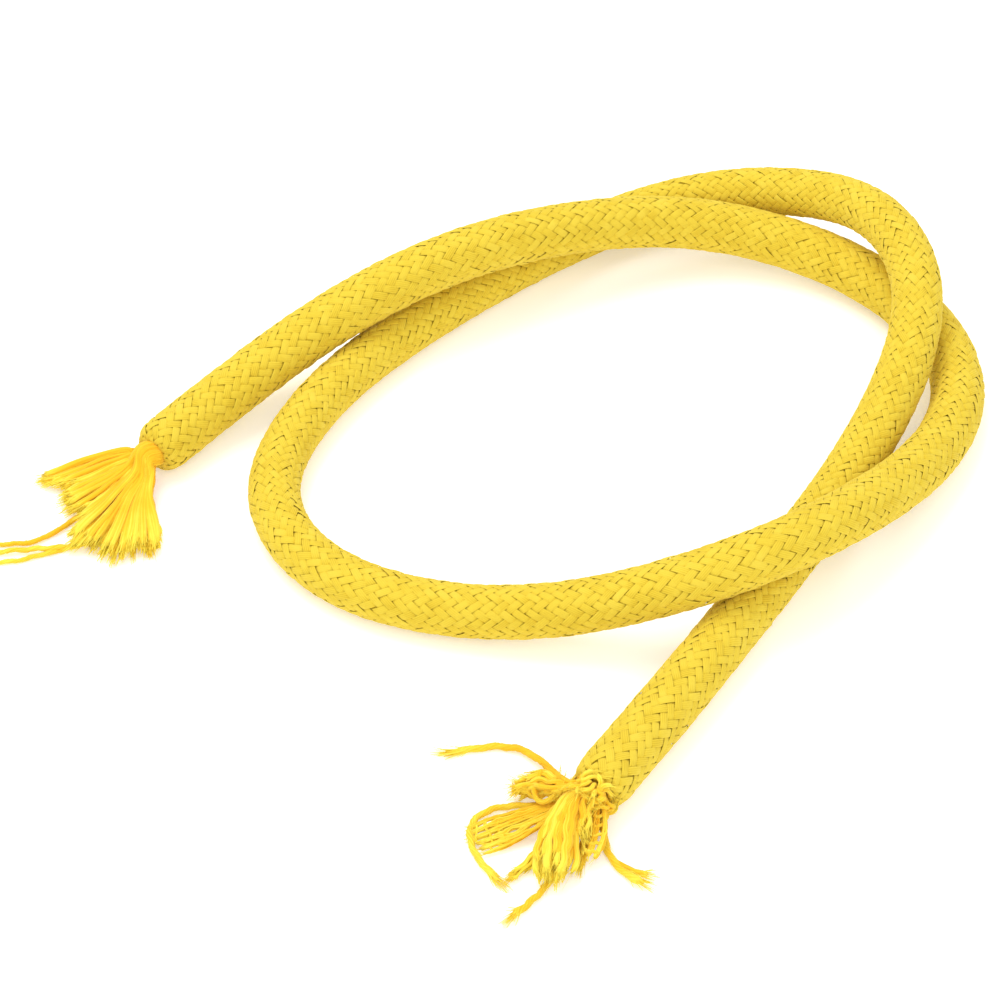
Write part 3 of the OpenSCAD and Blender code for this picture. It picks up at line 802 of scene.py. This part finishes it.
TIE_TURNS, TURN_ROWS = 4, 90           # turns of the tie's thread, and points along each turn
TIE_PITCH = 0.6        # from one turn to the next
PLIES = 3
PLY_R, PLY_OFFSET = 0.27, 0.25         # a ply's radius, and how far it lies from the thread's line


def tie(name, place, neck_r):
    """Plied thread wound about a neck, under the bulge of the braid."""
    rows = TURN_ROWS * TIE_TURNS
    a = np.linspace(0, 2 * np.pi * TIE_TURNS, rows)
    skin = np.interp(place + (a / (2 * np.pi) - TIE_TURNS / 2) * TIE_PITCH, rope.s, rope.skin)
    spoke = (np.cos(a)[:, None] * rope.look(rope.side, skin)
             + np.sin(a)[:, None] * rope.look(rope.up, skin))
    radius = neck_r + 0.25 + 0.12 * np.sin(a * 0.37 + 1)
    line = (rope.look(rope.centre, skin) + radius[:, None] * spoke)[None]
    _, side, up = axes_along(line)
    plies = []
    for ply in range(PLIES):
        b = a * neck_r / 1.1 + 2 * np.pi * ply / PLIES
        plies.append(line + PLY_OFFSET * (np.cos(b)[:, None] * side + np.sin(b)[:, None] * up))
    obj = sheets_object(name + "_thread", tubes(np.concatenate(plies), np.full((PLIES, rows), PLY_R), 8),
                        thread_cotton, closed=True, hollow=0.2, strand=0)
    return stands_for(obj, "thread", name)


# ---- studio -------------------------------------------------------------------------------------

# Lights: name, diameter and place in metres, and power in watts. The first is the photo's broad soft
# light from above and behind, and the second fills the shadows from in front.
LAMPS = (("softbox", 0.9, (-0.35, 0.35, 1.1), 7), ("fill", 1.2, (0.2, -0.9, 0.8), 4))
TABLE_WHITE, TABLE_GLOW, SKY_LIGHT = 0.9, 0.27, 0.9
TABLE_HALF = 4         # half the table's width, in metres


def studio():
    """A white table under an even white sky, with two broad soft lights."""
    mesh = bpy.data.meshes.new("floor")
    corners = [(x * TABLE_HALF, y * TABLE_HALF, 0) for x, y in ((-1, -1), (1, -1), (1, 1), (-1, 1))]
    mesh.from_pydata(corners, [], [(0, 1, 2, 3)])
    floor = bpy.data.objects.new("floor", mesh)
    bpy.context.scene.collection.objects.link(floor)
    white = bpy.data.materials.new("white_table")
    white.use_nodes = True
    shader = white.node_tree.nodes["Principled BSDF"]
    shader.inputs["Base Color"].default_value = (TABLE_WHITE, TABLE_WHITE, TABLE_WHITE, 1)
    shader.inputs["Roughness"].default_value = 0.8
    shader.inputs["Emission Color"].default_value = (1, 1, 1, 1)
    shader.inputs["Emission Strength"].default_value = TABLE_GLOW
    mesh.materials.append(white)

    world = bpy.data.worlds.new("sky")
    world.use_nodes = True
    world.node_tree.nodes["Background"].inputs["Color"].default_value = (1, 1, 1, 1)
    world.node_tree.nodes["Background"].inputs["Strength"].default_value = SKY_LIGHT
    bpy.context.scene.world = world

    for name, size, place, power in LAMPS:
        light = bpy.data.lights.new(name, "AREA")
        light.shape = "DISK"
        light.size = size
        light.energy = power
        lamp = bpy.data.objects.new(name, light)
        lamp.location = place
        lamp.rotation_euler = Vector(place).to_track_quat("Z", "Y").to_euler()
        bpy.context.scene.collection.objects.link(lamp)
    bpy.context.scene.view_settings.view_transform = "Standard"


# ---- the model ----------------------------------------------------------------------------------

camera()
lining_tube = stands_for(lining(), "braid", "braided_sheath")
on_rope = []
for way in (1, -1):
    for first in range(0, PLAITS, 6):
        ribbon = plaits(first, 6, way)
        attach(ribbon, "root")
        on_rope.append(ribbon)
on_rope.append(tie("left_tie", NECK_LENGTH / 2, LEFT_NECK_R))
on_rope.append(tie("right_tie", rope.length - NECK_LENGTH / 2, RIGHT_NECK_R))
on_rope += frayed_ends() + [ruff()]

for name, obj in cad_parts.items():
    if name.startswith("core"):
        for spot in obj.material_slots:
            spot.material = filler_cotton

studio()
